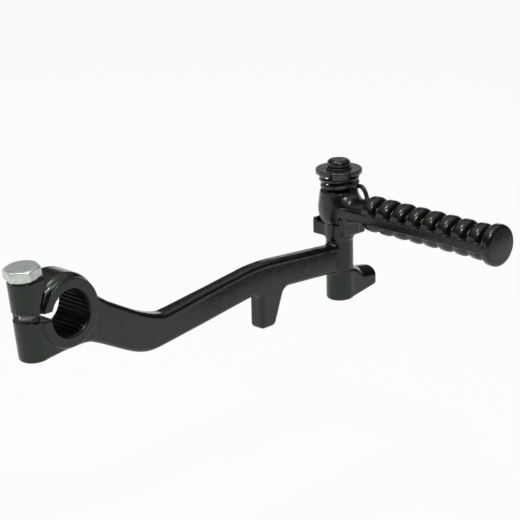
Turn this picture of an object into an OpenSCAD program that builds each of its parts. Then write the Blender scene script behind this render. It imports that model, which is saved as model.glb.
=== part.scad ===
// Kick start lever: a forged crank with a splined clamp boss, and a folding ribbed pedal on its end post.
// Frame: the splined bore's axis is Y, through the origin, with the outer face at -Y. +Z runs along the pedal's
// pivot, and +X from the boss towards the pivot.

/* [Clamp boss] */
// Length of the splined bore, along Y
boss_len = 19; // [16:0.5:26]
// Diameter of the raised ring on each face of the boss
ring_d = 27.3; // [24:0.1:32]
// Height of each raised ring above the boss body
ring_step = 1.5; // [0.5:0.1:3]
// Diameter of the boss body between the two rings
boss_d = 30.2; // [29:0.1:36]
// Rounding of the boss body's edges
boss_round = 3.2; // [1:0.1:4]

/* [Spline] */
// Diameter at the roots of the splines, which is the bore's wall
spline_root_d = 18.3; // [14:0.1:19]
// Height of each spline tooth
tooth_h = 0.75; // [0.3:0.05:1]
// Number of splines around the bore, where no slit cuts them
spline_count = 32; // [20:2:40]
// Share of the spline pitch that a tooth takes at its root
root_share = 0.7; // [0.5:0.05:0.8]
// Share of the spline pitch that a tooth takes at its tip
tip_share = 0.44; // [0.4:0.02:0.5]
// Width of the lead-in chamfer at each mouth of the bore
bore_chamfer = 0.7; // [0.2:0.1:1.2]

/* [Pinch ears] */
// Lean of the pinch bolt from +Z towards -X, in degrees
ear_tilt = 7; // [0:0.5:12]
// Distance from the bore's axis to the pinch bolt's axis
bolt_reach = 14.2; // [14.2:0.1:17]
// Height of the slit's middle above the bore's axis
slit_rise = 1.3; // [0:0.1:3]
// Width of the slit between the two ears
slit_w = 3.1; // [2:0.1:4]
// Depth of the ears, along Y
ear_w = 12.8; // [12:0.1:15]
// Place of the ears' middle along Y
ear_y = -1.7; // [-2:0.1:1]
// Top of the upper ear above the bore's axis
ear_top = 18.4; // [16:0.1:20]
// Bottom of the lower ear below the bore's axis
ear_drop = 14.6; // [14:0.1:18]
// Reach of the flat saddle under the boss, along +X
saddle_reach = 11; // [8:0.5:13]

/* [Pinch bolt] */
// Nominal diameter of the bolt
bolt_d = 8; // [7:0.5:8]
// Hexagon size across flats
bolt_af = 13; // [12:0.5:14]
// Height of the hexagon head
head_h = 4.5; // [4:0.1:6]
// Length of the shank under the head
bolt_len = 30; // [24:1:32]

/* [Arm] */
// Distance from the bore's axis to the pedal's pivot, along X
pivot_x = 154; // [140:1:180]
// Thickness of the arm, along Y
arm_t = 7.6; // [6:0.1:9]
// Step from the boss's outer ring face back to the arm's front face
arm_setback = 1.2; // [0.8:0.1:3]
// Rounding of the arm's long edges
arm_round = 1.9; // [1:0.1:3]
// Height of the arm at the boss, at the bend, after the bend, at the crest and at the post
arm_h_boss = 16.2; // [15:0.1:19]
arm_h_bend = 17.2; // [14:0.1:18]
arm_h_dip = 13.4; // [11:0.1:15]
arm_h_crest = 12.8; // [11:0.1:15]
arm_h_post = 12.2; // [10:0.1:14]
// Place of the bend's middle along X
bend_x = 37.5; // [34:0.5:40]
// Depth of the bend's middle below the bore's axis
bend_z = 18.9; // [16:0.1:21]
// Place of the dip's end after the bend, along X
dip_x = 47.5; // [45:0.5:52]
// Depth of the dip's end below the bore's axis
dip_z = 20.3; // [17:0.1:23]
// Place of the crest's middle along X
crest_x = 98; // [85:1:110]
// Depth of the crest's middle below the bore's axis
crest_z = 13.4; // [10:0.1:18]
// Depth of the arm's end at the post
arm_end_z = 15.9; // [12:0.1:18]

/* [Rest lug] */
// Place of the lug's upright side along X
lug_x = 102.7; // [95:0.1:106]
// Length of the lug along X where it leaves the arm
lug_root = 15.5; // [10:0.1:18]
// Length of the lug along X at its tip
lug_tip = 8.2; // [5:0.1:10]
// Depth of the lug's tip below the bore's axis
lug_z = 35.4; // [28:0.1:40]

/* [Post] */
// Diameter of the post
post_d = 11.7; // [10:0.1:13]
// Depth of the post's foot below the bore's axis
post_drop = 35; // [33:0.1:40]
// Diameter of the collar that carries the pedal
collar_d = 12.6; // [12.2:0.1:14]
// Depth of the collar's bottom and of its top below the bore's axis
collar_low = 6.8; // [6:0.1:8]
collar_top = 0.8; // [0.4:0.1:2]
// Diameter of the turned spindle above the collar
spindle_d = 9.3; // [8:0.1:10]
// Height of the spindle's end above the bore's axis
spindle_top = 26.7; // [26:0.1:30]
// Reach of the toe from the post's axis along +X
toe_reach = 17.4; // [12:0.1:20]
// Thickness of the toe, and of the two stop lugs
stop_t = 6.1; // [5.9:0.1:6.2]
// Height of the toe at its tip
toe_h = 7.8; // [6:0.1:8.4]
// Rise of the toe's underside from the post to its tip
toe_rise = 2.8; // [0.5:0.1:4]
// Reach of the two stop lugs from the post's axis
stop_reach = 10.6; // [10:0.1:11]
// Step from the collar's side back to the stop face of each lug
stop_inset = 0.9; // [0.7:0.1:1.2]

/* [Pedal] */
// Height of the peg's axis above the bore's axis
peg_z = 6.5; // [6:0.1:8]
// Diameter of the hub at its waist and at its top
hub_d = 18; // [16.5:0.1:19]
hub_top_d = 16.2; // [15:0.1:16.4]
// Height of the hub's waist and of its top above the bore's axis
hub_waist_z = 6.4; // [4:0.1:8]
hub_top_z = 13.7; // [12:0.1:14]
// Distance from the pivot to the first rib
first_rib = 21; // [19:0.1:24]
// Spacing of the ribs along the peg
rib_pitch = 8.1; // [6.6:0.1:9]
// Number of ribs
rib_count = 8; // [5:1:10]
// Outer diameter of the ribs
rib_d = 15.2; // [14:0.1:18]
// Width of each rib along the peg
rib_w = 6.2; // [4:0.1:6.4]
// Diameter of the peg's core between the ribs
core_d = 10; // [8:0.1:11]
// Height of the two side rails
rail_h = 3.8; // [2:0.1:5]
// Distance across the two side rails
rail_span = 15.3; // [14.6:0.1:16]
// Distance across the flat sides of the ribs
rib_flats = 14.4; // [13:0.1:14.5]
// Diameter and thickness of the end cap
cap_d = 17.4; // [16:0.1:19]
cap_t = 4.4; // [3:0.1:6]
// Width of the stop heel under the neck
heel_w = 9.6; // [8:0.1:9.6]
// Distance from the pivot to the heel's outer face
heel_reach = 7.6; // [7.4:0.1:8.4]
// Height of the heel's bottom above the collar's bottom
heel_lift = 1.5; // [1:0.1:3]

/* [Spring and retainer] */
// Wire diameter of the spring
wire_d = 1.9; // [1.4:0.1:2.1]
// Outer diameter of the spring's coil
coil_d = 17.4; // [16:0.1:17.6]
// Outer diameter of the coil where it sits on the hub
coil_low_d = 15; // [14.6:0.1:16]
// Diameter of the spring cup
cup_d = 19.8; // [18.5:0.1:21]
// Thickness of the spring cup
cup_t = 2.1; // [1.5:0.1:2.3]
// Height of the spring cup's top above the bore's axis
cup_z = 22.9; // [22:0.1:23.4]
// Thickness of the snap ring
clip_t = 1; // [0.8:0.1:1.2]
// Outer diameter of the snap ring
clip_d = 11.4; // [11:0.1:13]

/* [Clearances] */
// Radial clearance of the hub on its spindle
pivot_gap = 0.07; // [0.04:0.01:0.1]
// Clearance between faces of pieces that turn on each other
face_gap = 0.1; // [0.05:0.01:0.15]
// Clearance between the heel and the collar or a stop lug
stop_gap = 0.3; // [0.25:0.01:0.4]
// Radial clearance of the bolt in the upper ear
bolt_gap = 0.2; // [0.1:0.05:0.25]
// Radial clearance of the bolt in the lower ear
thread_gap = 0.03; // [0.02:0.01:0.05]

/* [Hidden] */
$fn = 64;
facets = 32;
arc_step = 15;
tiny = 0.01;

front = -boss_len / 2;
arm_front = front + arm_setback;
pivot_y = arm_front + arm_t / 2;
post_r = post_d / 2;
collar_r = collar_d / 2;
stop_face = collar_r - stop_inset;
spindle_r = spindle_d / 2;
hub_bore_r = spindle_r + pivot_gap;
groove_r = spindle_r - 0.5;
ear_r = ear_w / 2;
root_r = spline_root_d / 2;
tip_r = root_r - tooth_h;
hub_low_z = -collar_top + face_gap;
cap_y = first_rib + rib_count * rib_pitch;
cup_low = cup_z - cup_t;
black = "#1a1b1d";
warm_black = "#211f1c";
zinc = "#c9ccc6";

// Points of an arc around a centre, from one angle to another
function arc(cx, cy, r, from, to) =
    [for (i = [0 : 6]) let (a = from + (to - from) * i / 6) [cx + r * cos(a), cy + r * sin(a)]];

// Outline of a rectangle with rounded corners, from its lowest to its highest corner
function round_box(low, high, r) = concat(
    arc(low[0] + r, low[1] + r, r, 180, 270),
    arc(high[0] - r, low[1] + r, r, 270, 360),
    arc(high[0] - r, high[1] - r, r, 0, 90),
    arc(low[0] + r, high[1] - r, r, 90, 180));

// Disc along Y with rounded rims, standing at a place of the arm's centre plane
module arm_disc(x, z, h) {
    translate([x, pivot_y, z])
        rotate([90, 0, 0])
            rotate_extrude($fn = facets)
                polygon(concat(
                    [[0, -arm_t / 2]],
                    arc(h / 2 - arm_round, -arm_t / 2 + arm_round, arm_round, -90, 0),
                    arc(h / 2 - arm_round, arm_t / 2 - arm_round, arm_round, 0, 90),
                    [[0, arm_t / 2]]));
}

// One straight stretch of the arm between two such discs
module arm_stretch(x1, z1, h1, x2, z2, h2) {
    hull() {
        arm_disc(x1, z1, h1);
        arm_disc(x2, z2, h2);
    }
}

module arm() {
    start_x = 8.6;
    start_z = -4.6;
    arm_stretch(start_x, start_z, arm_h_boss, bend_x, -bend_z, arm_h_bend);
    arm_stretch(bend_x, -bend_z, arm_h_bend, dip_x, -dip_z, arm_h_dip);
    arm_stretch(dip_x, -dip_z, arm_h_dip, crest_x, -crest_z, arm_h_crest);
    arm_stretch(crest_x, -crest_z, arm_h_crest, pivot_x - 1, -arm_end_z, arm_h_post);
}

// Rest lug that hangs from the arm, upright on the boss side and sloping on the other
module rest_lug() {
    root_z = -crest_z - 4;
    lug_round_d = 2 * arm_round;
    hull() {
        arm_disc(lug_x + arm_round, root_z, lug_round_d + tiny);
        arm_disc(lug_x + lug_root - arm_round, root_z, lug_round_d + tiny);
        arm_disc(lug_x + arm_round, arm_round - lug_z, lug_round_d + tiny);
        arm_disc(lug_x + lug_tip - arm_round, arm_round - lug_z, lug_round_d + tiny);
    }
}

// Boss body with a raised ring on each face
module boss() {
    body_half = boss_len / 2 - ring_step;
    ring_r = ring_d / 2;
    rim = 0.4;
    rotate([90, 0, 0])
        rotate_extrude()
            polygon(concat(
                [[0, -boss_len / 2]],
                arc(ring_r - rim, rim - boss_len / 2, rim, -90, 0),
                [[ring_r, -body_half]],
                arc(boss_d / 2 - boss_round, boss_round - body_half, boss_round, -50, 0),
                arc(boss_d / 2 - boss_round, body_half - boss_round, boss_round, 0, 50),
                [[ring_r, body_half]],
                arc(ring_r - rim, boss_len / 2 - rim, rim, 0, 90),
                [[0, boss_len / 2]]));
}

// Moves into the ears' own frame: bolt axis along Z, slit across it
module ear_frame() {
    rotate([0, -ear_tilt, 0])
        translate([-bolt_reach, ear_y, 0])
            children();
}

// Two ears as one block with a round end, which the slit parts later
module ears() {
    low_edge = 1.6;
    seat_edge = 0.6;
    seat_back = ear_r + 1;
    ear_frame() {
        rotate_extrude()
            polygon(concat(
                [[0, -ear_drop]],
                arc(ear_r - low_edge, low_edge - ear_drop, low_edge, -90, 0),
                arc(ear_r - seat_edge, ear_top - seat_edge, seat_edge, 0, 90),
                [[0, ear_top]]));
        translate([0, ear_r, 0])
            rotate([90, 0, 0])
                linear_extrude(ear_w)
                    polygon([[0, -ear_drop], [bolt_reach, -ear_drop], [bolt_reach, 0],
                             [seat_back + 1, ear_top - 1], [seat_back, ear_top], [0, ear_top]]);
    }
}

// Flat saddle under the boss, from the lower ear to the arm's root
module saddle() {
    saddle_drop = ear_drop - 0.2;
    corner = 1.4;
    translate([-bolt_reach, ear_y - ear_r, -saddle_drop])
        cube([bolt_reach + saddle_reach - corner, ear_w, saddle_drop - boss_d / 4]);
    translate([saddle_reach - corner, ear_y + ear_r, corner - saddle_drop])
        rotate([90, 0, 0])
            cylinder(r = corner, h = ear_w);
}

// Post, collar and turned spindle in one revolve around the pivot
module post() {
    foot_round = 1.4;
    flare = 1.2;
    dome = 1.9;
    groove_low = cup_z + 0.02;
    groove_high = groove_low + clip_t + 0.1;
    translate([pivot_x, pivot_y, 0])
        rotate_extrude()
            polygon(concat(
                [[0, -post_drop]],
                arc(post_r - foot_round, foot_round - post_drop, foot_round, -90, 0),
                [[post_r, -collar_low - flare], [collar_r, -collar_low], [collar_r, -collar_top],
                 [spindle_r, -collar_top], [spindle_r, groove_low], [groove_r, groove_low],
                 [groove_r, groove_high], [spindle_r, groove_high]],
                arc(spindle_r - dome, spindle_top - dome, dome, 0, 90),
                [[0, spindle_top]]));
}

// Toe at the foot of the post, flush with the post's front
module toe() {
    toe_round = 1.4;
    nose_round = 2.9;
    toe_front = pivot_y - post_r + 0.8;
    root_h = 13.6;
    root_low = -post_drop + 0.4;
    tip_low = root_low + toe_rise;
    hull() {
        for (side = [toe_front + toe_round, toe_front + stop_t - toe_round])
            for (place = [[0, root_low + toe_round], [toe_reach - toe_round, tip_low + toe_round]])
                translate([pivot_x + place[0], side, place[1]])
                    sphere(toe_round, $fn = facets / 2);
        for (side = [toe_front + nose_round, toe_front + stop_t - nose_round])
            for (place = [[0, root_low + root_h], [toe_reach - nose_round, tip_low + toe_h]])
                translate([pivot_x + place[0], side, place[1] - nose_round])
                    sphere(nose_round, $fn = facets / 2);
    }
}

// Stop lug beside the collar, from a place along its length to its end
module stop_lug(start, height) {
    corner = 0.8;
    translate([0, 0, -collar_low])
        linear_extrude(height)
            polygon(round_box([start, -stop_face], [stop_reach, stop_t - stop_face], corner));
}

// Two stop lugs, mirror images across their bisector; the far one has a raised lip beside the hub
module stops() {
    lug_h = collar_low - collar_top - 0.2;
    lip_h = 1.4;
    lip_start = hub_d / 2 - 0.6;
    translate([pivot_x, pivot_y, 0]) {
        stop_lug(0, lug_h);
        mirror([1, -1, 0]) {
            stop_lug(0, lug_h);
            stop_lug(lip_start, lug_h + lip_h);
        }
    }
}

// Spline teeth that stand in from the bore's wall, with round tips for a plain shaft's seat
module spline_teeth() {
    pitch_angle = 360 / spline_count;
    root_half = root_r * sin(pitch_angle * root_share / 2);
    tip_half = tip_r * sin(pitch_angle * tip_share / 2);
    overlap = 0.25;
    tip_cut = 0.2;
    end_inset = 0.2;
    tooth_len = boss_len - 2 * (bore_chamfer + end_inset);
    rotate([90, 0, 0])
        difference() {
            for (i = [0 : spline_count - 1])
                rotate([0, 0, (i + 0.5) * pitch_angle])
                    translate([0, 0, -tooth_len / 2])
                        linear_extrude(tooth_len)
                            polygon([[root_r + overlap, -root_half], [root_r + overlap, root_half],
                                     [tip_r - tip_cut, tip_half], [tip_r - tip_cut, -tip_half]]);
            cylinder(r = tip_r, h = boss_len, center = true);
        }
}

// Level slit from the bore out through both ears
module slit() {
    slit_reach = bolt_reach + ear_r + 2;
    translate([-slit_reach, -boss_len / 2 - 1, slit_rise - slit_w / 2])
        cube([slit_reach, boss_len + 2, slit_w]);
}

// Bore through the boss with a lead-in at each mouth
module bore() {
    rotate([90, 0, 0]) {
        cylinder(r = root_r, h = boss_len + 2, center = true);
        for (flip = [0, 180])
            rotate([flip, 0, 0])
                translate([0, 0, boss_len / 2 - bore_chamfer])
                    cylinder(r1 = root_r, r2 = root_r + bore_chamfer + tiny, h = bore_chamfer + tiny);
    }
}

// Clearance hole in the upper ear and tapped hole in the lower one
module bolt_holes() {
    slit_along_bolt = (slit_rise + bolt_reach * sin(ear_tilt)) / cos(ear_tilt);
    ear_frame() {
        translate([0, 0, slit_along_bolt])
            cylinder(r = bolt_d / 2 + bolt_gap, h = ear_top);
        translate([0, 0, -ear_drop - 1])
            cylinder(r = bolt_d / 2 + thread_gap, h = ear_drop + 1 + slit_along_bolt);
    }
}

module crank_arm() {
    color(black) {
        difference() {
            union() {
                boss();
                ears();
                saddle();
                arm();
                rest_lug();
                post();
                toe();
                stops();
            }
            bore();
            slit();
            bolt_holes();
        }
        difference() {
            spline_teeth();
            slit();
        }
    }
}

module clamp_bolt() {
    head_r = bolt_af / sqrt(3);
    corner_cut = 1.3;
    bevel_slope = 1.6;
    washer_t = 0.4;
    washer_step = 0.3;
    hex_turn = 12;
    cone_h = head_h + (head_r - corner_cut) / bevel_slope;
    color(zinc)
        ear_frame()
            translate([0, 0, ear_top]) {
                cylinder(r = bolt_af / 2 - washer_step, h = washer_t);
                intersection() {
                    translate([0, 0, washer_t])
                        rotate([0, 0, hex_turn])
                            cylinder(r = head_r, h = head_h - washer_t, $fn = 6);
                    cylinder(r1 = cone_h * bevel_slope, r2 = 0, h = cone_h);
                }
                translate([0, 0, -bolt_len])
                    cylinder(d = bolt_d, h = bolt_len + tiny);
            }
}

// Revolved hub: a bowl below the waist and a slow cone above it
module hub() {
    waist_r = hub_d / 2;
    top_r = hub_top_d / 2;
    low_r = collar_r - 0.3;
    bowl = [for (a = [0 : arc_step : 90])
        [low_r + (waist_r - low_r) * sin(a), hub_waist_z - (hub_waist_z - hub_low_z) * cos(a)]];
    rotate_extrude()
        polygon(concat([[0, hub_low_z]], bowl, arc(top_r - 0.6, hub_top_z - 0.6, 0.6, 5, 90), [[0, hub_top_z]]));
}

// One rounded rib, turned around the peg's axis and cut flat on its two sides
module rib(place) {
    crown_r = rib_w / 2;
    translate([0, -place, peg_z])
        intersection() {
            rotate([90, 0, 0])
                rotate_extrude()
                    polygon(concat([[0, -crown_r]], arc(rib_d / 2 - crown_r, 0, crown_r, -90, 90), [[0, crown_r]]));
            cube([rib_flats, rib_w + 1, rib_d + 1], center = true);
        }
}

module peg() {
    translate([0, 0, peg_z])
        rotate([90, 0, 0])
            cylinder(d = core_d, h = cap_y);
    for (i = [0 : rib_count - 1])
        rib(first_rib + i * rib_pitch);
    rail_t = 3;
    rail_start = hub_d / 2 - rail_t;
    rail_low = peg_z - 0.7 * rail_h;
    for (side_x = [-rail_span / 2, rail_span / 2 - rail_t])
        translate([side_x, -cap_y, rail_low])
            cube([rail_t, cap_y - rail_start, rail_h]);
}

// End cap: a thick disc with a rounded rim and a flat face
module cap() {
    rim = 1.5;
    translate([0, -cap_y, peg_z])
        rotate([90, 0, 0])
            rotate_extrude()
                polygon(concat(
                    [[0, -cap_t / 2]],
                    arc(cap_d / 2 - rim, rim - cap_t / 2, rim, -90, 0),
                    arc(cap_d / 2 - rim, cap_t / 2 - rim, rim, 0, 90),
                    [[0, cap_t / 2]]));
}

// Heel under the neck, which runs between the two stop lugs
module heel() {
    heel_low = heel_lift - collar_low;
    corner = 0.7;
    difference() {
        translate([0, 0, heel_low])
            linear_extrude(peg_z - heel_low)
                polygon(round_box([-heel_w / 2, -heel_reach], [heel_w / 2, -stop_face - stop_gap], corner));
        translate([0, 0, heel_low - 1])
            cylinder(r = collar_r + stop_gap, h = hub_low_z - heel_low + 1);
    }
}

// Neck that widens the peg's root into the hub
module neck() {
    neck_len = first_rib - rib_w / 2;
    neck_root_r = hub_d / 2 - 2.6;
    translate([0, 0, peg_z])
        rotate([90, 0, 0])
            cylinder(r1 = neck_root_r, r2 = core_d / 2, h = neck_len);
}

module pedal() {
    color(black)
        translate([pivot_x, pivot_y, 0])
            difference() {
                union() {
                    hub();
                    neck();
                    peg();
                    cap();
                    heel();
                }
                translate([0, 0, hub_low_z - 1])
                    cylinder(r = hub_bore_r, h = hub_top_z - hub_low_z + 2);
            }
}

// Places of the spring's wire: closed at both ends, open between them, with a tail down the pedal's neck
spring_turns = 2.3;
spring_start = -60;
coil_r = (coil_d - wire_d) / 2;
coil_low_r = (coil_low_d - wire_d) / 2;
spring_low = hub_top_z + wire_d / 2 + face_gap / 2;
spring_high = cup_low - wire_d / 2 - face_gap / 2;
function ease(t) = t * t * (3 - 2 * t);
function coil_point(t) =
    let (a = spring_start + 360 * spring_turns * t, lift = 0.35 * t + 0.65 * ease(t),
         r = coil_low_r + (coil_r - coil_low_r) * ease(t))
    [r * cos(a), r * sin(a), spring_low + (spring_high - spring_low) * lift];
tail_points = [[5.1, -11.9, 9.2], [5.3, -11.1, 10.6], [5.5, -10.2, 12.6], [5.3, -8.9, 14.5]];
coil_steps = 56;
spring_path = concat(tail_points, [for (i = [0 : coil_steps]) coil_point(i / coil_steps)]);

// Round wire swept along a path, each ring square to the path and upright
module wire(path, r, sides) {
    n = len(path);
    dir = [for (i = [0 : n - 1]) let (d = path[min(i + 1, n - 1)] - path[max(i - 1, 0)]) d / norm(d)];
    rings = [for (i = [0 : n - 1])
        let (across = cross([0, 0, 1], dir[i]), u = across / norm(across), v = cross(dir[i], u))
        [for (k = [0 : sides - 1]) path[i] + r * (cos(360 * k / sides) * u + sin(360 * k / sides) * v)]];
    points = [for (ring = rings) for (p = ring) p];
    skin = [for (i = [0 : n - 2]) for (k = [0 : sides - 1])
        [i * sides + k, i * sides + (k + 1) % sides, (i + 1) * sides + (k + 1) % sides, (i + 1) * sides + k]];
    first_end = [for (k = [0 : sides - 1]) sides - 1 - k];
    last_end = [for (k = [0 : sides - 1]) (n - 1) * sides + k];
    polyhedron(points, concat(skin, [first_end], [last_end]), convexity = 8);
}

module return_spring() {
    color(warm_black)
        translate([pivot_x, pivot_y, 0])
            wire(spring_path, wire_d / 2, 10);
}

// Cup washer that holds the spring down, notched beside its two bent tabs
module spring_cup() {
    tab_h = 1;
    tab_t = 0.9;
    tab_angle = 44;
    tab_middle = 227;
    notch_w = 1;
    notch_depth = 1.3;
    cup_r = cup_d / 2;
    rim = 0.5;
    color(black)
        translate([pivot_x, pivot_y, 0])
            difference() {
                union() {
                    translate([0, 0, cup_low])
                        rotate_extrude()
                            polygon(concat(
                                [[spindle_r + pivot_gap, 0]],
                                arc(cup_r - rim, rim, rim, -90, 0),
                                arc(cup_r - rim, cup_t - rim, rim, 0, 90),
                                [[spindle_r + pivot_gap, cup_t]]));
                    for (turn = [0, 180])
                        rotate([0, 0, tab_middle - tab_angle / 2 + turn])
                            translate([0, 0, cup_low - tab_h])
                                rotate_extrude(angle = tab_angle)
                                    translate([cup_r - tab_t, 0])
                                        square([tab_t, tab_h + rim]);
                }
                for (turn = [0, 180])
                    for (side = [-1, 1])
                        rotate([0, 0, tab_middle + turn + side * (tab_angle / 2 + 1.5)])
                            translate([cup_r - notch_depth, -notch_w / 2, cup_low - tab_h - 1])
                                cube([notch_depth + 1, notch_w, cup_t + tab_h + 2]);
            }
}

// Snap ring with its gap and two plier lugs on the far side
module snap_ring() {
    gap_middle = 45;
    gap_angle = 36;
    lug_d = 2.6;
    lug_r = clip_d / 2 - 0.1;
    inner_r = groove_r + 0.02;
    color(warm_black)
        translate([pivot_x, pivot_y, cup_z + 0.07]) {
            difference() {
                union() {
                    rotate([0, 0, gap_middle + gap_angle / 2])
                        rotate_extrude(angle = 360 - gap_angle)
                            translate([inner_r, 0])
                                square([clip_d / 2 - inner_r, clip_t]);
                    for (side = [-1, 1])
                        rotate([0, 0, gap_middle + side * (gap_angle / 2 + 9)])
                            translate([lug_r, 0, 0])
                                cylinder(d = lug_d, h = clip_t, $fn = facets);
                }
                for (side = [-1, 1])
                    rotate([0, 0, gap_middle + side * (gap_angle / 2 + 9)])
                        translate([lug_r, 0, -1])
                            cylinder(d = 1.2, h = clip_t + 2, $fn = facets);
            }
        }
}

crank_arm();
clamp_bolt();
pedal();
return_spring();
spring_cup();
snap_ring();
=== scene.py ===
# Looks of a kick start lever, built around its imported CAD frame.
import math
from itertools import product

import bpy
import numpy as np
from mathutils import Matrix, Vector

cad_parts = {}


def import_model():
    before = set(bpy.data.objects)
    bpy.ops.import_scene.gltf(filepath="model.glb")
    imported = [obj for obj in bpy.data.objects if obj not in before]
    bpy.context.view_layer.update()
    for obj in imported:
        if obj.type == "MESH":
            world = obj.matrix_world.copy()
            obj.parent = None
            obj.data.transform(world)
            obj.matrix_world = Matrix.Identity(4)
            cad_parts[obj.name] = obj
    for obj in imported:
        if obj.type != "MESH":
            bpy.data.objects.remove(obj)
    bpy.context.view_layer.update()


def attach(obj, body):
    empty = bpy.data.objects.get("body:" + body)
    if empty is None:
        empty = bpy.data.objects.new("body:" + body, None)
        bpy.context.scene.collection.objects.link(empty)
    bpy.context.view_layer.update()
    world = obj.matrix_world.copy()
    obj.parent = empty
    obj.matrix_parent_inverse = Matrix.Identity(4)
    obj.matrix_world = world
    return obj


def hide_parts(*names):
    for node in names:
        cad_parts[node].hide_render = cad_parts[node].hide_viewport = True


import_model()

MM = 0.001

# Sizes in millimetres, the same as in the part's source where it names them
BOSS_LEN, RING_D, RING_STEP, BOSS_D, BOSS_ROUND = 19.0, 27.3, 1.5, 30.2, 3.2
ROOT_R, TOOTH_H, SPLINES, CHAMFER = 9.15, 0.75, 32, 0.7
EAR_TILT, BOLT_REACH, SLIT_RISE, SLIT_W = math.radians(7), 14.2, 1.3, 3.1
EAR_W, EAR_Y, EAR_TOP, EAR_DROP, SADDLE_REACH = 12.8, -1.7, 18.4, 14.6, 11.0
BOLT_D, BOLT_AF, HEAD_H, BOLT_LEN = 8.0, 13.0, 4.5, 30.0
PIVOT_X, PIVOT_Y = 154.0, -4.5
ARM_T, ARM_ROUND = 7.6, 1.9
ARM_TOP = [(0, 13), (14.6, 3.0), (20.5, -1.1), (25.9, -4.0), (36.9, -9.8), (44, -12.6), (49, -13.8),
           (54.8, -13.1), (71, -10.8), (98, -7.1), (106, -6.8), (112, -7.1), (153, -10.2), (175, -11.8)]
ARM_LOW = [(-10, -14.4), (9.5, -14.4), (15.3, -16.9), (29.3, -23.8), (33, -25.6), (38.3, -27.1),
           (42, -27.6), (46.5, -27.1), (71.1, -23.7), (96.8, -19.8), (104, -19.3), (153, -22.1),
           (175, -23.3)]
LUG_X, LUG_ROOT, LUG_TIP, LUG_Z = 102.7, 15.5, 8.2, 35.4
POST_R, POST_DROP, COLLAR_R, COLLAR_LOW, COLLAR_TOP = 5.85, 35.0, 6.3, 6.8, 0.8
SPINDLE_R, SPINDLE_TOP, SPINDLE_DOME = 4.65, 26.7, 1.9
TOE_REACH, TOE_RISE, TOE_H, TOE_ROOT_H = 17.4, 2.8, 7.8, 13.6
STOP_T, STOP_REACH, STOP_FACE, LIP_H = 6.1, 10.6, 5.4, 1.4
PEG_Z, HUB_R, HUB_TOP_R, HUB_WAIST_Z, HUB_TOP_Z = 6.5, 9.0, 8.1, 6.4, 13.7
FIRST_RIB, RIB_PITCH, RIB_COUNT, RIB_R, RIB_W, CORE_R = 21.0, 8.1, 8, 7.6, 6.2, 5.0
RAIL_H, RAIL_SPAN, RAIL_T, RIB_FLATS, CAP_R, CAP_T = 3.8, 15.3, 3.0, 14.4, 8.7, 4.4
HEEL_W, HEEL_REACH, HEEL_LIFT = 9.6, 7.6, 1.5
WIRE_D, COIL_D, COIL_LOW_D, CUP_R, CUP_T, CUP_Z = 1.9, 17.4, 15.0, 9.9, 2.1, 22.9
CLIP_T, CLIP_R = 1.0, 5.7
PIVOT_GAP, FACE_GAP, STOP_GAP, BOLT_GAP, THREAD_GAP = 0.07, 0.1, 0.3, 0.2, 0.03
CAP_PLACE = FIRST_RIB + RIB_COUNT * RIB_PITCH
HUB_LOW_Z = FACE_GAP - COLLAR_TOP

# Sizes that only the scene has, in millimetres
CLIP_SEEN_T, CLIP_SHRINK, SPINDLE_HEAD_GROWTH = 0.6, 0.25, 0.3
LOW_COIL_GROWTH, LOW_COIL_SHIFT = 1.7, 0.3
TOE_SET_BACK, TOE_THICKER, TOE_SHORTER = 0.1, 0.35, 0.1
HEEL_FLARE_LOW, HEEL_FLARE_TOP, CORE_SHRINK = 0.7, 2.2, 0.4
ARM_DRAFT, DRAFT_H, DRAFT_START, DRAFT_RUN = 0.7, 10.0, 45.0, 30.0
NECK_WIDER, NECK_FLATTER = 1.12, 1.14  # factors, not millimetres

# Fillets between the parts of the crank arm
EAR_FILLET, ARM_FILLET, TOE_FILLET, STOP_FILLET, POST_FILLET = 1.2, 0.8, 0.8, 0.5, 1.8


# Distance functions

def round_join(a, b, r):
    """Union of two solids with a fillet of radius r where they meet."""
    return np.maximum(r, np.minimum(a, b)) - np.hypot(np.maximum(r - a, 0), np.maximum(r - b, 0))


def round_meet(a, b, r):
    """Common part of two solids, its edge rounded to radius r."""
    return np.minimum(-r, np.maximum(a, b)) + np.hypot(np.maximum(r + a, 0), np.maximum(r + b, 0))


def round_cut(a, b, r):
    """Solid a without solid b, the cut's edge rounded to radius r."""
    return round_meet(a, -b, r)


def slab(outline, h, half, edge):
    """An outline's distance drawn out to a half thickness, with its rims rounded."""
    u = outline + edge
    v = np.abs(h) - half + edge
    return np.minimum(np.maximum(u, v), 0) + np.hypot(np.maximum(u, 0), np.maximum(v, 0)) - edge


def drum(rho, h, r, low, high, edge):
    """Cylinder of radius r between two heights; r may change with the height."""
    return slab(rho - r, h - (low + high) / 2, (high - low) / 2, edge)


def block(x, y, z, low, high, edge):
    """Box between two corners with rounded edges."""
    out = [np.abs(c - (a + b) / 2) - (b - a) / 2 + edge for c, a, b in zip((x, y, z), low, high)]
    far = np.sqrt(sum(np.maximum(d, 0) ** 2 for d in out))
    return far + np.minimum(np.maximum(np.maximum(out[0], out[1]), out[2]), 0) - edge


def eased(points, width):
    """Fine table of a polyline whose corners are rounded over about a width."""
    step = 0.25
    x = np.arange(points[0][0], points[-1][0] + step / 2, step)
    reach = np.arange(-3 * width, 3 * width + step / 2, step)
    weight = np.exp(-0.5 * (reach / width) ** 2)
    rise = np.gradient(np.interp(x, *zip(*points)), step)
    rise = np.convolve(np.pad(rise, len(reach) // 2, "edge"), weight / weight.sum(), "valid")
    line = np.cumsum(rise) * step
    middle = len(x) // 2
    return x, line - line[middle] + np.interp(x[middle], *zip(*points)), rise


def below_curve(x, z, table):
    """Distance above a curve z(x) given as a table of places, heights and slopes."""
    places, heights, slopes = table
    lean = np.interp(x, places, slopes)
    return (z - np.interp(x, places, heights)) / np.sqrt(1 + lean * lean)


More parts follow.
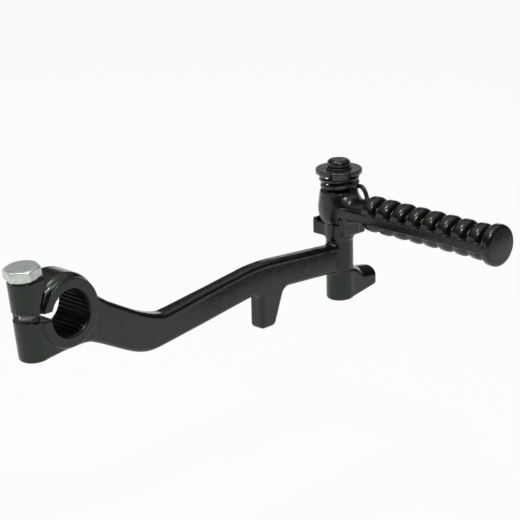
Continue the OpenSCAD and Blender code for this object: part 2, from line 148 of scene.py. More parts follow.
def wedge(x, z, corners, r):
    """Convex outline given by its corners in anticlockwise order, rounded to radius r, in a plane."""
    far = None
    for (x1, z1), (x2, z2) in zip(corners, corners[1:] + corners[:1]):
        length = math.hypot(x2 - x1, z2 - z1)
        side = ((x - x1) * (z2 - z1) - (z - z1) * (x2 - x1)) / length
        far = side if far is None else round_meet(far, side, r)
    return far


# Meshes from distance functions

def slope(shape, p):
    """Value and gradient of a distance function at some points."""
    step = 0.03
    grad = np.empty_like(p)
    for axis in range(3):
        offset = np.zeros(3)
        offset[axis] = step
        grad[:, axis] = (shape(*(p + offset).T) - shape(*(p - offset).T)) / (2 * step)
    return shape(*p.T), grad


def settle(shape, p, reach, rounds):
    """Moves points onto a distance function's surface, by at most reach a round."""
    for _ in range(rounds):
        value, grad = slope(shape, p)
        move = grad * (value / np.maximum((grad ** 2).sum(1), 0.05))[:, None]
        size = np.linalg.norm(move, axis=1, keepdims=True)
        p = p - move * np.minimum(1, reach / np.maximum(size, 1e-9))
    return p


def net(shape, axes):
    """Points and quads of a distance function's surface on a grid with these axis values."""
    grid = np.meshgrid(*axes, indexing="ij")
    d = shape(*grid)
    inside = d < 0
    n = np.array(d.shape)
    count = np.zeros(n - 1, np.int8)
    for corner in product((0, 1), repeat=3):
        count += inside[tuple(slice(c, c + m) for c, m in zip(corner, n - 1))]
    active = (count > 0) & (count < 8)
    index = np.full(n - 1, -1)
    index[active] = np.arange(active.sum())
    cell = np.array(np.nonzero(active))
    total = np.zeros((3, cell.shape[1]))
    hits = np.zeros(cell.shape[1])
    for axis in range(3):
        u, v = (axis + 1) % 3, (axis + 2) % 3
        for du, dv in product((0, 1), repeat=2):
            a = cell.copy()
            a[u] += du
            a[v] += dv
            b = a.copy()
            b[axis] += 1
            da, db = d[tuple(a)], d[tuple(b)]
            cross = (da < 0) != (db < 0)
            t = np.where(cross, da / np.where(cross, da - db, 1), 0)
            for k in range(3):
                place = axes[k][a[k]]
                if k == axis:
                    place = place + t * (axes[k][b[k]] - axes[k][a[k]])
                total[k] += np.where(cross, place, 0)
            hits += cross
    points = (total / hits).T
    quads = []
    for axis in range(3):
        u, v = (axis + 1) % 3, (axis + 2) % 3
        here = [slice(None)] * 3
        there = [slice(None)] * 3
        here[axis], there[axis] = slice(0, -1), slice(1, None)
        start = inside[tuple(here)]
        edge = np.array(np.nonzero(start != inside[tuple(there)]))
        keep = (edge[u] > 0) & (edge[u] < n[u] - 1) & (edge[v] > 0) & (edge[v] < n[v] - 1)
        edge = edge[:, keep]
        ring = []
        for du, dv in ((-1, -1), (0, -1), (0, 0), (-1, 0)):
            c = edge.copy()
            c[u] += du
            c[v] += dv
            ring.append(index[tuple(c)])
        quad = np.array(ring).T
        flip = ~start[tuple(edge)]
        quad[flip] = quad[flip][:, ::-1]
        quads.append(quad)
    return points, np.concatenate(quads)


def relax(shape, p, quads, reach, rounds):
    """Evens out the points along the surface."""
    starts = quads.ravel()
    ends = np.roll(quads, -1, axis=1).ravel()
    degree = np.bincount(starts, minlength=len(p)) + np.bincount(ends, minlength=len(p))
    for _ in range(rounds):
        middle = np.empty_like(p)
        for k in range(3):
            total = np.bincount(starts, p[ends, k], len(p)) + np.bincount(ends, p[starts, k], len(p))
            middle[:, k] = total / np.maximum(degree, 1)
        grad = slope(shape, p)[1]
        normal = grad / np.maximum(np.linalg.norm(grad, axis=1, keepdims=True), 1e-9)
        move = middle - p
        move -= normal * (move * normal).sum(1)[:, None]
        p = settle(shape, p + 0.5 * move, reach, 1)
    return p


def steps(low, high, size):
    """Evenly spaced values over a stretch, about size apart."""
    return np.linspace(low, high, max(2, int(round((high - low) / size)) + 1))


def axis_values(*stretches):
    """Grid values over stretches (low, high, size) that follow each other."""
    values = [steps(*s) for s in stretches]
    return np.unique(np.round(np.concatenate(values), 6))


def skin(name, shape, axes, place=None):
    """Blender object of a distance function's surface, with the function's own normals."""
    reach = max(np.diff(a).max() for a in axes)
    points, quads = net(shape, axes)
    points = settle(shape, points, reach, 3)
    points = relax(shape, points, quads, reach, 3)
    points = settle(shape, points, reach, 2)
    grad = slope(shape, points)[1]
    normals = grad / np.maximum(np.linalg.norm(grad, axis=1, keepdims=True), 1e-9)
    if place is not None:
        turn = np.array(place.to_3x3())
        points = points @ turn.T + np.array(place.translation)
        normals = normals @ turn.T
    mesh = smooth_mesh(name, points * MM, quads.tolist())
    mesh.normals_split_custom_set_from_vertices(normals.tolist())
    return add_object(name, mesh)


def add_object(name, data):
    """New object in the scene for a mesh, a lamp or a camera."""
    obj = bpy.data.objects.new(name, data)
    bpy.context.scene.collection.objects.link(obj)
    return obj


def smooth_mesh(name, points, faces):
    """New mesh whose faces are all smooth; points are in metres."""
    mesh = bpy.data.meshes.new(name)
    mesh.from_pydata(points.tolist(), [], faces)
    mesh.polygons.foreach_set("use_smooth", [True] * len(mesh.polygons))
    mesh.update()
    return mesh


# Shapes of the pieces, in millimetres

def ear_axes(x, y, z):
    """Coordinates in the ears' frame, with the bolt along its Z."""
    along = x * math.cos(EAR_TILT) + z * math.sin(EAR_TILT)
    up = z * math.cos(EAR_TILT) - x * math.sin(EAR_TILT)
    return along + BOLT_REACH, y - EAR_Y, up


ARM_TOP_CURVE, ARM_LOW_CURVE = eased(ARM_TOP, 1.25), eased(ARM_LOW, 2.5)


def arm_shape(x, y, z):
    """Arm with its rest lug, drawn out from one outline that flows into the boss."""
    height = below_curve(x, z, ARM_LOW_CURVE)
    band = np.maximum(below_curve(x, z, ARM_TOP_CURVE), -height)
    band = round_meet(band, np.maximum(-x, x - PIVOT_X), 1.0)
    root = -16.0
    corners = [(LUG_X, -LUG_Z), (LUG_X + LUG_TIP, -LUG_Z), (LUG_X + LUG_ROOT, root), (LUG_X, root)]
    outline = round_join(band, wedge(x, z, corners, 2.0), 2.5)
    outline = round_join(outline, np.hypot(x, z) - RING_D / 2 + 0.4, 3.0)
    draft = ARM_DRAFT * np.clip(height / DRAFT_H, 0, 1) ** 2 * np.clip((x - DRAFT_START) / DRAFT_RUN, 0, 1)
    return slab(outline, y - PIVOT_Y, ARM_T / 2 - draft, ARM_ROUND)


def boss_shape(x, y, z):
    """Rounded boss with a raised ring face at each end."""
    rho = np.hypot(x, z)
    body = drum(rho, y, BOSS_D / 2, RING_STEP - BOSS_LEN / 2, BOSS_LEN / 2 - RING_STEP, BOSS_ROUND)
    ring = drum(rho, y, RING_D / 2, -BOSS_LEN / 2, BOSS_LEN / 2, 0.35)
    return round_join(body, ring, 0.5)


def ears_shape(x, y, z):
    """Round-ended ears, the upper one leaning away from the boss, with a flat saddle under the boss."""
    u, v, w = ear_axes(x, y, z)
    r = EAR_W / 2
    barrel = drum(np.hypot(u, v), w, r, -EAR_DROP, EAR_TOP, 1.1)
    low = block(u, v, w, (0, -r, -EAR_DROP), (BOLT_REACH, r, -3), 1.4)
    flank = [(-3.2, -3.0), (-2.6, -3.0), (r - 0.9, EAR_TOP - 3), (r - 0.9, EAR_TOP), (-3.2, EAR_TOP)]
    high = slab(wedge(u, w, flank, 0.6), v, r, 1.1)
    saddle_low = (-BOLT_REACH + 3, -r, 0.2 - EAR_DROP)
    saddle_high = (SADDLE_REACH + 2, r, -BOSS_D / 4)
    saddle = block(x, y - EAR_Y, z, saddle_low, saddle_high, 1.4)
    return np.minimum(np.minimum(barrel, high), np.minimum(low, saddle))


def post_shape(x, y, z):
    """Post, collar and turned spindle, with the snap ring's groove under the spindle's head."""
    rho = np.hypot(x - PIVOT_X, y - PIVOT_Y)
    flare = np.clip((z + COLLAR_LOW + 1.6) / 1.6, 0, 1)
    r = POST_R + (COLLAR_R - POST_R) * flare * flare * (3 - 2 * flare)
    stem = drum(rho, z, r, -POST_DROP, -COLLAR_TOP, 1.4)
    collar = drum(rho, z, COLLAR_R, -COLLAR_LOW, -COLLAR_TOP, 0.3)
    spindle = drum(rho, z, SPINDLE_R, -4, SPINDLE_TOP, SPINDLE_DOME)
    head_low = CUP_Z + CLIP_SEEN_T + 0.15
    head = drum(rho, z, SPINDLE_R + SPINDLE_HEAD_GROWTH, head_low - 2, SPINDLE_TOP, SPINDLE_DOME - 0.4)
    spindle = np.minimum(spindle, np.maximum(head, head_low - z))
    groove = drum(rho, z, 40.0, CUP_Z + 0.02, CUP_Z + 0.12 + CLIP_SEEN_T, 0.02)
    groove = np.maximum(groove, SPINDLE_R - 0.5 - rho)
    spindle = round_cut(spindle, groove, 0.1)
    return round_join(np.minimum(stem, collar), spindle, 0.3)


def toe_shape(x, y, z):
    """Toe with a rising underside and a broad bevel along its top front edge."""
    u, w = x - PIVOT_X, z + POST_DROP - 0.4
    front, half = PIVOT_Y - POST_R + TOE_SET_BACK, STOP_T / 2 + TOE_THICKER
    tip, tip_top = TOE_REACH - TOE_SHORTER, TOE_RISE + TOE_H
    corners = [(-1.0, -0.6), (tip, TOE_RISE - 0.2), (tip, tip_top), (-1.0, TOE_ROOT_H)]
    toe = slab(wedge(u, w, corners, 1.6), y - front - half, half, 1.2)
    bevel_h, bevel_rise, fade_place, fade = 2.7, 0.105, 9, 0.7
    bevel_start = tip_top - bevel_h + bevel_rise * (TOE_REACH - u) + fade * np.maximum(fade_place - u, 0)
    return round_meet(toe, (w - bevel_start - y + front) * math.sqrt(0.5), 0.9)


def stops_shape(x, y, z):
    """Two stop lugs beside the collar; the far one has a raised lip beside the hub."""
    u, v = x - PIVOT_X, y - PIVOT_Y
    top = -COLLAR_TOP - 0.2
    lip = HUB_R - 0.6
    back = STOP_T - STOP_FACE
    near = block(u, v, z, (0, -STOP_FACE, -COLLAR_LOW), (STOP_REACH, back, top), 0.7)
    far = block(v, u, z, (0, -STOP_FACE, -COLLAR_LOW), (STOP_REACH, back, top), 0.7)
    raised = block(v, u, z, (lip, -STOP_FACE, -COLLAR_LOW), (STOP_REACH, back, top + LIP_H), 0.7)
    return np.minimum(near, np.minimum(far, raised))


def bore_shape(x, y, z):
    """The splined bore with its lead-in at each mouth, as a solid to cut away."""
    rho = np.hypot(x, z)
    pitch = 2 * math.pi / SPLINES
    theta = np.mod(np.arctan2(z, x), pitch) - pitch / 2
    depth, side = rho * np.cos(theta), np.abs(rho * np.sin(theta))
    tip_r = ROOT_R - TOOTH_H
    root_half, tip_half = 0.62, 0.36
    half = tip_half + (root_half - tip_half) * (depth - tip_r) / TOOTH_H
    flank = (side - half) * TOOTH_H / math.hypot(TOOTH_H, root_half - tip_half)
    tooth = round_meet(flank, tip_r - rho, 0.12)
    tooth = np.maximum(tooth, np.abs(y) - (BOSS_LEN / 2 - CHAMFER - 0.2))
    hole = round_cut(rho - ROOT_R, tooth, 0.08)
    mouth = (rho - ROOT_R - CHAMFER + BOSS_LEN / 2 - np.abs(y)) * math.sqrt(0.5)
    return np.minimum(hole, mouth)


def slit_shape(x, y, z):
    """Slit from the bore out between the ears."""
    return np.maximum(np.abs(z - SLIT_RISE) - SLIT_W / 2, x)


def bolt_hole_shape(x, y, z):
    """Bolt's hole: loose in the upper ear, close on the thread in the lower one."""
    u, v, w = ear_axes(x, y, z)
    r = np.where(z > SLIT_RISE, BOLT_D / 2 + BOLT_GAP, BOLT_D / 2 + THREAD_GAP)
    return np.hypot(u, v) - r


def crank_shape(x, y, z):
    """The whole forging, with its foot cut to the toe's rising underside."""
    body = round_join(boss_shape(x, y, z), ears_shape(x, y, z), EAR_FILLET)
    body = round_join(body, arm_shape(x, y, z), ARM_FILLET)
    post = round_join(post_shape(x, y, z), toe_shape(x, y, z), TOE_FILLET)
    foot_rise = 0.17
    foot = (foot_rise * (x - PIVOT_X - 0.5) - z - POST_DROP) / math.hypot(1, foot_rise)
    post = round_meet(post, foot, 1.2)
    post = round_join(post, stops_shape(x, y, z), STOP_FILLET)
    body = round_join(body, post, POST_FILLET)
    body = round_cut(body, slit_shape(x, y, z), 0.35)
    body = round_cut(body, bolt_hole_shape(x, y, z), 0.25)
    return round_cut(body, bore_shape(x, y, z), 0.15)


def hub_shape(u, v, z):
    """Hub with a slow cone above its waist and a bowl below, and a fine parting line between them."""
    rho = np.hypot(u, v)
    low_r = COLLAR_R - 0.3
    t = np.clip((HUB_WAIST_Z - z) / (HUB_WAIST_Z - HUB_LOW_Z), -1, 1)
    bowl_r = low_r + (HUB_R - low_r) * np.sqrt(np.maximum(1 - t * t, 0.02))
    cone_r = HUB_R + (HUB_TOP_R - HUB_R) * (z - HUB_WAIST_Z) / (HUB_TOP_Z - HUB_WAIST_Z)
    line_depth, line_half, line_z = 0.2, 0.3, HUB_WAIST_Z - 0.6
    r = np.where(z < HUB_WAIST_Z, bowl_r, cone_r)
    r = r - line_depth * np.exp(-((z - line_z) / line_half) ** 2)
    middle, half = (HUB_TOP_Z + HUB_LOW_Z) / 2, (HUB_TOP_Z - HUB_LOW_Z) / 2
    return round_meet((rho - r) * 0.9, np.abs(z - middle) - half, 0.6)


def peg_shape(u, along, w):
    """Core with round ribs cut flat at the sides, a rail on each side and a domed cap."""
    rho = np.hypot(u, w)
    core_start, rail_start = 6.0, 6.1
    core = drum(rho, along, CORE_R - CORE_SHRINK, core_start, CAP_PLACE, 0.5)
    nearest = np.clip(np.round((along - FIRST_RIB) / RIB_PITCH), 0, RIB_COUNT - 1)
    off = along - FIRST_RIB - nearest * RIB_PITCH
    rib = round_meet(rho - RIB_R, np.abs(off) - RIB_W / 2, 2.3)
    rib = round_meet(rib, np.abs(u) - RIB_FLATS / 2, 0.5)
    peg = round_join(core, rib, 0.5)
    low, high = -0.7 * RAIL_H, 0.3 * RAIL_H
    outer = RAIL_SPAN / 2
    rail = block(np.abs(u), along, w, (outer - RAIL_T, rail_start, low), (outer, CAP_PLACE, high), 0.5)
    peg = round_join(peg, rail, 0.4)
    dome = 0.5 * (rho / CAP_R) ** 2
    cap = drum(rho, along + dome, CAP_R, CAP_PLACE - CAP_T / 2, CAP_PLACE + CAP_T / 2, 1.4)
    return round_join(peg, cap, 0.4)


def heel_shape(u, along, z):
    """Stop heel under the neck, hollowed to clear the collar."""
    low, side = HEEL_LIFT - COLLAR_LOW, HEEL_W / 2
    start = STOP_FACE + STOP_GAP
    corners = [(-side - HEEL_FLARE_LOW, low), (side, low), (side, PEG_Z), (-side - HEEL_FLARE_TOP, PEG_Z)]
    middle, half = (start + HEEL_REACH) / 2, (HEEL_REACH - start) / 2
    foot = slab(wedge(u, z, corners, 1.2), along - middle, half, 0.6)
    under = np.maximum(np.hypot(u, along) - COLLAR_R - STOP_GAP, z - HUB_LOW_Z)
    return round_cut(foot, under, 0.2)


def pedal_shape(x, y, z):
    """Hub, neck, peg and heel in one, bored for the spindle."""
    u, v = x - PIVOT_X, y - PIVOT_Y
    along, w = -v, z - PEG_Z
    neck_len, root_r = FIRST_RIB - RIB_W / 2, HUB_R - 2.6
    neck_r = root_r + (CORE_R - root_r) * np.clip(along / neck_len, 0, 1)
    neck = drum(np.hypot(u / NECK_WIDER, w * NECK_FLATTER), along, neck_r, 0, neck_len, 0.3)
    body = round_join(hub_shape(u, v, z), neck, 3.0)
    body = round_join(body, peg_shape(u, along, w), 0.6)
    body = round_join(body, heel_shape(u, along, z), 0.6)
    return round_cut(body, np.hypot(u, v) - SPINDLE_R - PIVOT_GAP, 0.25)


def bolt_shape(u, v, w):
    """Bolt in its own frame, with the bearing face of its head at w = 0."""
    rho = np.hypot(u, v)
    turn = math.radians(12)
    hexagon = None
    for side in range(3):
        a = turn + math.radians(30 + 60 * side)
        flat = np.abs(u * math.cos(a) + v * math.sin(a)) - BOLT_AF / 2
        hexagon = flat if hexagon is None else round_meet(hexagon, flat, 0.25)
    head = slab(hexagon, w - (HEAD_H + 0.4) / 2, (HEAD_H - 0.4) / 2, 0.2)
    bevel_slope, bevel_r = 1.7, BOLT_AF / math.sqrt(3) - 1.25
    bevel = (rho - bevel_r + bevel_slope * (w - HEAD_H)) / math.hypot(1, bevel_slope)
    head = round_meet(head, bevel, 0.3)
    washer = drum(rho, w, BOLT_AF / 2 - 0.3, 0, 1.0, 0.1)
    pitch, depth = 1.25, 0.62
    phase = np.mod(w / pitch - np.arctan2(v, u) / (2 * math.pi), 1)
    crest = np.clip(np.abs(phase - 0.5) * 2.2 - 0.1, 0, 0.85) * depth
    taper = np.clip(BOLT_LEN + w, 0, 1)
    shank = drum(rho + crest, w, BOLT_D / 2 - 0.6 * (1 - taper), -BOLT_LEN, 0.3, 0.1) * 0.8
    return np.minimum(round_join(head, washer, 0.1), shank)


def cup_shape(x, y, z):
    """Thick washer with two bent tabs and a notch at each side of them."""
    u, v = x - PIVOT_X, y - PIVOT_Y
    rho, theta = np.hypot(u, v), np.arctan2(v, u)
    low = CUP_Z - CUP_T
    disc = drum(rho, z, CUP_R, low, CUP_Z, 0.5)
    middle, half = math.radians(227), math.radians(22)
    turn = np.mod(theta - middle + math.pi / 2, math.pi) - math.pi / 2
    tab = round_meet(drum(rho, z, CUP_R, low - 1.0, CUP_Z - 0.5, 0.3), CUP_R - 0.9 - rho, 0.2)
    tab = round_meet(tab, rho * (np.abs(turn) - half), 0.2)
    notch_turn = np.abs(turn) - half - math.radians(1.5)
    notch = np.maximum(np.abs(rho * np.sin(notch_turn)) - 0.5, CUP_R - 1.3 - rho)
    cup = round_cut(round_join(disc, tab, 0.3), notch, 0.25)
    return round_cut(cup, rho - SPINDLE_R - PIVOT_GAP, 0.2)


def clip_shape(x, y, z):
    """Open snap ring with an eye at each end."""
    u, v = x - PIVOT_X, y - PIVOT_Y
    rho, theta = np.hypot(u, v), np.arctan2(v, u)
    low = CUP_Z + 0.07
    ring = drum(rho, z, CLIP_R - CLIP_SHRINK, low, low + CLIP_SEEN_T, 0.2)
    ring = np.maximum(ring, SPINDLE_R - 0.48 - rho)
    middle, half = math.radians(45), math.radians(18)
    gap = np.maximum(np.abs(theta - middle) - half, 3.0 - rho) * CLIP_R
    ring = round_cut(ring, gap, 0.15)
    eye_place, eye_r, lug_r = CLIP_R - 0.1, 0.6, 1.3
    for side in (-1, 1):
        a = middle + side * (half + math.radians(9))
        eye = np.hypot(u - eye_place * math.cos(a), v - eye_place * math.sin(a))
        lug = round_cut(drum(eye, z, lug_r, low, low + CLIP_SEEN_T, 0.2), eye - eye_r, 0.1)
        ring = round_cut(round_join(ring, lug, 0.2), eye - eye_r, 0.1)
    return ring


# Coil spring, swept as a tube

def spring_path():
    """Places along the wire: its tail, a tight bend and the coil, evenly spaced and smoothed."""
    coil_steps, path_steps, smoothings = 400, 500, 12
    first_angle, sweep, even_share = -48, 816, 0.35
    t =np.linspace(0, 1, coil_steps)
    ease = t * t * (3 - 2 * t)
    low_d = COIL_LOW_D + LOW_COIL_GROWTH
    r = (low_d + (COIL_D - low_d) * ease - WIRE_D) / 2
    a = np.radians(first_angle + sweep * t)
    low = HUB_TOP_Z + WIRE_D / 2 + FACE_GAP / 2
    high = CUP_Z - CUP_T - WIRE_D / 2 - FACE_GAP / 2
    rise = even_share * t + (1 - even_share) * ease
    coil = np.stack([r * np.cos(a), r * np.sin(a), low + (high - low) * rise], 1)
    coil[:, :2] += LOW_COIL_SHIFT * (1 - ease)[:, None] * np.array([1, -1])
    tail = np.array([
        [5.1, -11.9, 9.2], [5.3, -11.1, 10.6], [5.5, -10.2, 12.6], [5.4, -9.1, 14.2], [5.1, -8.0, 15.2],
    ])
    path = np.concatenate([tail, coil])
    length = np.concatenate([[0], np.cumsum(np.linalg.norm(np.diff(path, axis=0), axis=1))])
    even = np.linspace(0, length[-1], path_steps)
    path = np.stack([np.interp(even, length, path[:, k]) for k in range(3)], 1)
    for _ in range(smoothings):
        path[1:-1] = (path[:-2] + 2 * path[1:-1] + path[2:]) / 4
    return path + np.array([PIVOT_X, PIVOT_Y, 0])


def tube(name, path, r, sides):
    """Round wire along a path with flat, slightly rounded ends."""
    along = np.gradient(path, axis=0)
    along /= np.linalg.norm(along, axis=1, keepdims=True)
    across = np.cross([0, 0, 1], along)
    across /= np.linalg.norm(across, axis=1, keepdims=True)
    up = np.cross(along, across)
    a = 2 * math.pi * np.arange(sides) / sides
    ring = np.cos(a)[None, :, None] * across[:, None] + np.sin(a)[None, :, None] * up[:, None]
    points = path[:, None] + r * ring
    end_out, end_share = 0.12, 0.8
    inner_low = path[0] - along[0] * end_out + end_share * r * ring[0]
    inner_high = path[-1] + along[-1] * end_out + end_share * r * ring[-1]
    points = np.concatenate([inner_low[None], points, inner_high[None]]).reshape(-1, 3)
    rows = len(path) + 2
    i = np.arange(rows - 1)[:, None] * sides
    k = np.arange(sides)[None]
    nxt = (k + 1) % sides
    quads = np.stack([i + k, i + nxt, i + sides + nxt, i + sides + k], -1).reshape(-1, 4).tolist()
    quads.append(list(range(sides))[::-1])
    quads.append(list(range((rows - 1) * sides, rows * sides)))
    mesh = smooth_mesh(name, points * MM, quads)
    mesh.set_sharp_from_angle(angle=math.radians(60))
    return add_object(name, mesh)


# Materials

def shader(name, colour, metallic, roughness, coat=0.0, coat_roughness=0.1):
    """New material, with its node tree and its shader."""
    mat = bpy.data.materials.new(name)
    mat.use_nodes = True
    tree = mat.node_tree
    bsdf = tree.nodes["Principled BSDF"]
    bsdf.inputs["Base Color"].default_value = (*colour, 1)
    bsdf.inputs["Metallic"].default_value = metallic
    bsdf.inputs["Roughness"].default_value = roughness
    bsdf.inputs["Coat Weight"].default_value = coat
    bsdf.inputs["Coat Roughness"].default_value = coat_roughness
    return mat, tree, bsdf


def noise(tree, scale, detail, roughness):
    """Noise on the object's own coordinates; scale is in cycles per metre."""
    coords = tree.nodes.new("ShaderNodeTexCoord")
    tex = tree.nodes.new("ShaderNodeTexNoise")
    tex.inputs["Scale"].default_value = scale
    tex.inputs["Detail"].default_value = detail
    tex.inputs["Roughness"].default_value = roughness
    tree.links.new(coords.outputs["Object"], tex.inputs["Vector"])
    return tex.outputs["Fac"]


def ramp(tree, source, stops):
    """Colour ramp over stops of a place and a colour."""
    node = tree.nodes.new("ShaderNodeValToRGB")
    elements = node.color_ramp.elements
    elements[0].position, elements[0].color = stops[0][0], (*stops[0][1], 1)
    elements[1].position, elements[1].color = stops[-1][0], (*stops[-1][1], 1)
    for place, colour in stops[1:-1]:
        elements.new(place).color = (*colour, 1)
    tree.links.new(source, node.inputs["Fac"])
    return node.outputs["Color"]


def spread(tree, source, low, high, new_low, new_high):
    """Maps the values from low to high onto those from new_low to new_high."""
    node = tree.nodes.new("ShaderNodeMapRange")
    node.inputs["From Min"].default_value = low
    node.inputs["From Max"].default_value = high
    node.inputs["To Min"].default_value = new_low
    node.inputs["To Max"].default_value = new_high
    tree.links.new(source, node.inputs["Value"])
    return node.outputs["Result"]


def bump(tree, source, distance, strength, below=None):
    """Normals of a bump, on top of those of another one if below gives them."""
    node = tree.nodes.new("ShaderNodeBump")
    node.inputs["Distance"].default_value = distance
    node.inputs["Strength"].default_value = strength
    tree.links.new(source, node.inputs["Height"])
    if below is not None:
        tree.links.new(below, node.inputs["Normal"])
    return node.outputs["Normal"]


def black_paint():
    """Gloss paint with orange peel and fine grit; inside the bore its reflection is turned down as painted
    shade.
    """
    gloss, bore_shade_gloss = 0.47, 0.05
    mat, tree, bsdf = shader("black_paint", (0.004, 0.0044, 0.004), 0.0, 0.2, 0.02, 0.08)
    bsdf.inputs["Specular Tint"].default_value = (0.88, 1.0, 0.85, 1)
    bsdf.inputs["Specular IOR Level"].default_value = gloss
    coords = tree.nodes.new("ShaderNodeTexCoord")
    across = tree.nodes.new("ShaderNodeVectorMath")
    across.operation = "MULTIPLY"
    across.inputs[1].default_value = (1, 0, 1)
    tree.links.new(coords.outputs["Object"], across.inputs[0])
    away = tree.nodes.new("ShaderNodeVectorMath")
    away.operation = "LENGTH"
    tree.links.new(across.outputs["Vector"], away.inputs[0])
    # Painted shade: the reflection is turned down to almost nothing inside the bore, so the hole looks
    # dark.
    bore_r, face_r = (ROOT_R - 0.15) * MM, (ROOT_R + 0.65) * MM
    painted_bore_shade = spread(tree, away.outputs["Value"], bore_r, face_r, bore_shade_gloss, gloss)
    tree.links.new(painted_bore_shade, bsdf.inputs["Specular IOR Level"])
    dark, light = (0.003, 0.0034, 0.003), (0.006, 0.0066, 0.0058)
    tint = ramp(tree, noise(tree, 140, 4, 0.6), [(0.3, dark), (0.7, light)])
    tree.links.new(tint, bsdf.inputs["Base Color"])
    clouds = spread(tree, noise(tree, 420, 5, 0.6), 0.3, 0.7, 0.16, 0.3)
    tree.links.new(clouds, bsdf.inputs["Roughness"])
    peel = bump(tree, noise(tree, 420, 2, 0.4), 0.0004, 0.12)
    grit = bump(tree, spread(tree, noise(tree, 2600, 2, 0.5), 0.66, 0.78, 0, 1), 0.00015, 0.3, peel)
    tree.links.new(grit, bsdf.inputs["Normal"])
    tree.links.new(peel, bsdf.inputs["Coat Normal"])
    return mat


def satin_black(name, colour, roughness):
    """Thin dark finish with faint clouds and grain, for the wire and the cup."""
    mat, tree, bsdf = shader(name, colour, 0.0, roughness, 0.2, 0.2)
    dark = tuple(0.7 * c for c in colour)
    tint = ramp(tree, noise(tree, 300, 4, 0.6), [(0.3, dark), (0.7, colour)])
    tree.links.new(tint, bsdf.inputs["Base Color"])
    spots = spread(tree, noise(tree, 900, 4, 0.6), 0.3, 0.7, roughness - 0.08, roughness + 0.1)
    tree.links.new(spots, bsdf.inputs["Roughness"])
    tree.links.new(bump(tree, noise(tree, 1500, 3, 0.6), 0.0002, 0.25), bsdf.inputs["Normal"])
    return mat


def zinc_plate():
    """Pale, slightly green plating with faint clouds and grain."""
    mat, tree, bsdf = shader("zinc_plate", (0.6, 0.63, 0.6), 0.8, 0.35)
    dark, light = (0.52, 0.55, 0.52), (0.7, 0.73, 0.69)
    tint = ramp(tree, noise(tree, 500, 5, 0.7), [(0.3, dark), (0.7, light)])
    tree.links.new(tint, bsdf.inputs["Base Color"])
    clouds = spread(tree, noise(tree, 900, 5, 0.6), 0.3, 0.7, 0.28, 0.46)
    tree.links.new(clouds, bsdf.inputs["Roughness"])
    tree.links.new(bump(tree, noise(tree, 2200, 3, 0.6), 0.0001, 0.3), bsdf.inputs["Normal"])
    return mat


def dress(obj, mat, body, node):
    """Gives a piece its material, its body and the solid that it stands for."""
    obj.data.materials.append(mat)
    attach(obj, body)
    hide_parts(node)


PAINT = black_paint()
CUP_BLACK = satin_black("cup_black", (0.016, 0.016, 0.016), 0.3)
WIRE_BLACK = satin_black("spring_wire", (0.014, 0.0135, 0.0125), 0.32)
ZINC = zinc_plate()

# Pieces, each with its grid's stretches and their steps

crank_axes = (
    axis_values((-23.5, -10.4, 0.45), (-10.4, 10.4, 0.25), (10.4, 171.6, 0.58)),
    axis_values((-11.3, 10.1, 0.5)),
    axis_values((-36, -10.4, 0.5), (-10.4, 10.4, 0.25), (10.4, 27.2, 0.45)),
)
dress(skin("crank_skin", crank_shape, crank_axes), PAINT, "crank", "crank_arm")

pedal_axes = (
    axis_values((PIVOT_X - 9.6, PIVOT_X + 9.6, 0.35)),
    axis_values((PIVOT_Y - CAP_PLACE - CAP_T / 2 - 0.8, PIVOT_Y + 9.6, 0.4)),
    axis_values((HEEL_LIFT - COLLAR_LOW - 0.8, PEG_Z + CAP_R + 0.8, 0.35)),
)
dress(skin("pedal_skin", pedal_shape, pedal_axes), PAINT, "pedal", "pedal")

bolt_place = Matrix.Rotation(-EAR_TILT, 4, "Y") @ Matrix.Translation((-BOLT_REACH, EAR_Y, EAR_TOP))
bolt_axes = (
    axis_values((-8.2, 8.2, 0.2)),
    axis_values((-8.2, 8.2, 0.2)),
    axis_values((-BOLT_LEN - 0.6, HEAD_H + 0.6, 0.2)),
)
bolt = skin("clamp_bolt_skin", bolt_shape, bolt_axes, bolt_place)
dress(bolt, ZINC, "crank", "clamp_bolt")

cup_axes = (
    axis_values((PIVOT_X - 10.4, PIVOT_X + 10.4, 0.2)),
    axis_values((PIVOT_Y - 10.4, PIVOT_Y + 10.4, 0.2)),
    axis_values((CUP_Z - CUP_T - 1.6, CUP_Z + 0.5, 0.15)),
)
dress(skin("spring_cup_skin", cup_shape, cup_axes), CUP_BLACK, "crank", "spring_cup")

clip_axes = (
    axis_values((PIVOT_X - 6.6, PIVOT_X + 8.0, 0.15)),
    axis_values((PIVOT_Y - 6.6, PIVOT_Y + 8.0, 0.15)),
    axis_values((CUP_Z - 0.4, CUP_Z + CLIP_T + 0.5, 0.12)),
)
dress(skin("snap_ring_skin", clip_shape, clip_axes), WIRE_BLACK, "crank", "snap_ring")

spring = tube("return_spring_wire", spring_path(), WIRE_D / 2, 20)
dress(spring, WIRE_BLACK, "pedal", "return_spring")


# Floor, light and camera

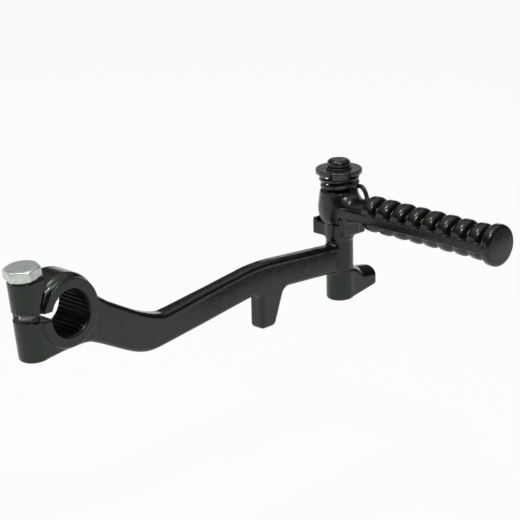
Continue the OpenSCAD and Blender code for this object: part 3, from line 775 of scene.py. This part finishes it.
def floor(level, edge, white_share):
    """Pale sheet, partly self-lit where it is seen, that ends at edge metres to the camera's right."""
    diagonal = math.sqrt(0.5)
    left, near, far = -4, -3, 6
    corners = [(left, near), (edge, near), (edge, far), (left, far)]
    points = [((side + away) * diagonal, (away - side) * diagonal, level) for side, away in corners]
    plane = add_object("floor", smooth_mesh("floor", np.array(points), [[0, 1, 2, 3]]))
    mat, tree, bsdf = shader("floor", (0.86, 0.86, 0.86), 0.0, 0.9)
    bsdf.inputs["Specular IOR Level"].default_value = 0.1
    rays = tree.nodes.new("ShaderNodeLightPath")
    seen = rays.outputs["Is Camera Ray"]
    for kind in ("Is Glossy Ray", "Is Transmission Ray"):
        either = tree.nodes.new("ShaderNodeMath")
        either.operation = "MAXIMUM"
        tree.links.new(seen, either.inputs[0])
        tree.links.new(rays.outputs[kind], either.inputs[1])
        seen = either.outputs["Value"]
    white = tree.nodes.new("ShaderNodeEmission")
    white.inputs["Color"].default_value = (1, 1, 1, 1)
    white.inputs["Strength"].default_value = 1
    mix = tree.nodes.new("ShaderNodeMixShader")
    tree.links.new(spread(tree, seen, 0, 1, 0, white_share), mix.inputs["Fac"])
    tree.links.new(bsdf.outputs["BSDF"], mix.inputs[1])
    tree.links.new(white.outputs["Emission"], mix.inputs[2])
    tree.links.new(mix.outputs["Shader"], tree.nodes["Material Output"].inputs["Surface"])
    plane.data.materials.append(mat)


def lamp(name, place, aim, size, power):
    """Disk lamp at a place, turned towards its aim."""
    data = bpy.data.lights.new(name, "AREA")
    data.shape = "DISK"
    data.size = size
    data.energy = power
    obj = add_object(name, data)
    obj.location = place
    obj.rotation_euler = (Vector(aim) - Vector(place)).to_track_quat("-Z", "Y").to_euler()


def world(below, low, band, high):
    """Room with a bright band low behind the object, dark walls and a bright ceiling."""
    w = bpy.data.worlds.new("room")
    bpy.context.scene.world = w
    w.use_nodes = True
    tree = w.node_tree
    coords = tree.nodes.new("ShaderNodeTexCoord")
    split = tree.nodes.new("ShaderNodeSeparateXYZ")
    tree.links.new(coords.outputs["Generated"], split.inputs["Vector"])
    height = spread(tree, split.outputs["Z"], -1, 1, 0, 1)
    front = [(-0.03, below), (0.0, low), (0.5, low), (0.9, high)]
    back = [(-0.03, below), (0.0, band), (0.12, band), (0.26, low), (0.5, low), (0.9, high)]
    mix = tree.nodes.new("ShaderNodeMix")
    mix.data_type = "RGBA"
    front_socket, back_socket, mixed_socket = 6, 7, 2
    for stops, socket in ((front, front_socket), (back, back_socket)):
        shades = [((z + 1) / 2, (level, level, level)) for z, level in stops]
        tree.links.new(ramp(tree, height, shades), mix.inputs[socket])
    tree.links.new(spread(tree, split.outputs["Y"], -0.2, 0.3, 0, 1), mix.inputs["Factor"])
    tree.links.new(mix.outputs[mixed_socket], tree.nodes["Background"].inputs["Color"])


floor(-0.12, 0.63, 0.88)
world(0.2, 0.04, 1.5, 0.9)
centre = (0.1, -0.03, 0)
lamp("key", (-0.35, -0.7, 0.95), centre, 0.2, 5)
lamp("top", (-0.15, 0.2, 1.3), centre, 0.5, 7)

AZIMUTH, ELEVATION, ROLL = math.radians(-45), math.radians(18.1), math.radians(-1.25)
DISTANCE, FOCAL_PX, FRAME_PX, SENSOR = 0.9, 2205.7, 520, 36
TARGET = Vector((100.79, -9.5, -3.87)) * MM
back = Vector((
    math.sin(AZIMUTH) * math.cos(ELEVATION),
    -math.cos(AZIMUTH) * math.cos(ELEVATION),
    math.sin(ELEVATION),
))
level_right = Vector((math.cos(AZIMUTH), math.sin(AZIMUTH), 0))
level_up = back.cross(level_right)
right = level_right * math.cos(ROLL) + level_up * math.sin(ROLL)
up = back.cross(right)
camera = add_object("camera", bpy.data.cameras.new("camera"))
camera.data.sensor_width = SENSOR
camera.data.lens = SENSOR * FOCAL_PX / FRAME_PX
camera.data.clip_start = 0.01
camera.matrix_world = Matrix((right, up, back)).transposed().to_4x4()
camera.location = TARGET + back * DISTANCE
bpy.context.scene.camera = camera
bpy.context.scene.view_settings.view_transform = "Standard"
